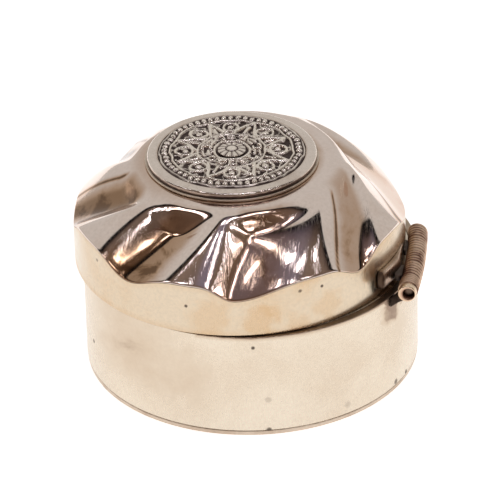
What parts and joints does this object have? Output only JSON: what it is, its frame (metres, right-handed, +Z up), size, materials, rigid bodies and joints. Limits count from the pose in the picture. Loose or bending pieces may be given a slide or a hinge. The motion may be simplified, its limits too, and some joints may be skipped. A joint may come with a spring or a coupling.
{
  "type": "pill box",
  "caption": "Round hinged metal pill box with a swirl-fluted domed lid, a cast sun medallion and a ribbed hinge barrel.",
  "frame": {"origin": "centre of the drum's flat underside", "axes": "+Z up, +Y from the centre towards the hinge, +X along the hinge pin towards the open barrel end"},
  "size_m": [0.04, 0.0423, 0.0275],
  "materials": {
    "satin_silver": "hand-polished silver, faintly yellowed, with fine scratches and pits",
    "plate_silver": "dull silver sheet",
    "warm_silver": "hand-polished silver with orange-brown tarnish",
    "polished_silver": "mirror-polished silver, brown tarnish in the flutes",
    "frame_silver": "polished silver, worn bright at the edge",
    "oxidised_silver": "cast silver, blackened in the recesses and worn bright on the high lines",
    "tarnished_barrel": "ribbed silver tube with copper-brown tarnish",
    "grey_solder": "grey solder, rough",
    "dark_pin": "dark hard wire"
  },
  "bodies": {
    "box_base": {"base_floor": "plate_silver", "base_wall": "satin_silver", "base_seat_ring": "satin_silver", "base_knuckle_near": "tarnished_barrel", "base_knuckle_middle": "tarnished_barrel", "base_knuckle_far": "tarnished_barrel", "base_foot_near": "grey_solder", "base_foot_middle": "grey_solder", "base_foot_far": "grey_solder", "hinge_pin": "dark_pin"},
    "box_lid": {"lid_band": "warm_silver", "lid_crown": "polished_silver", "lid_hinge_bar": "grey_solder", "lid_knuckle_near": "tarnished_barrel", "lid_knuckle_far": "tarnished_barrel", "lid_foot_near": "grey_solder", "lid_foot_far": "grey_solder", "medallion_seat_plate": "plate_silver", "medallion_frame": "frame_silver", "medallion_relief": "oxidised_silver", "medallion_boss": "oxidised_silver"}
  },
  "joints": [
    {"name": "lid_hinge", "type": "hinge", "parent": "box_base", "child": "box_lid", "pos_m": [0, 0.01995, 0.0149], "axis": [-1, 0, 0], "range_deg": [0, 110]}
  ]
}
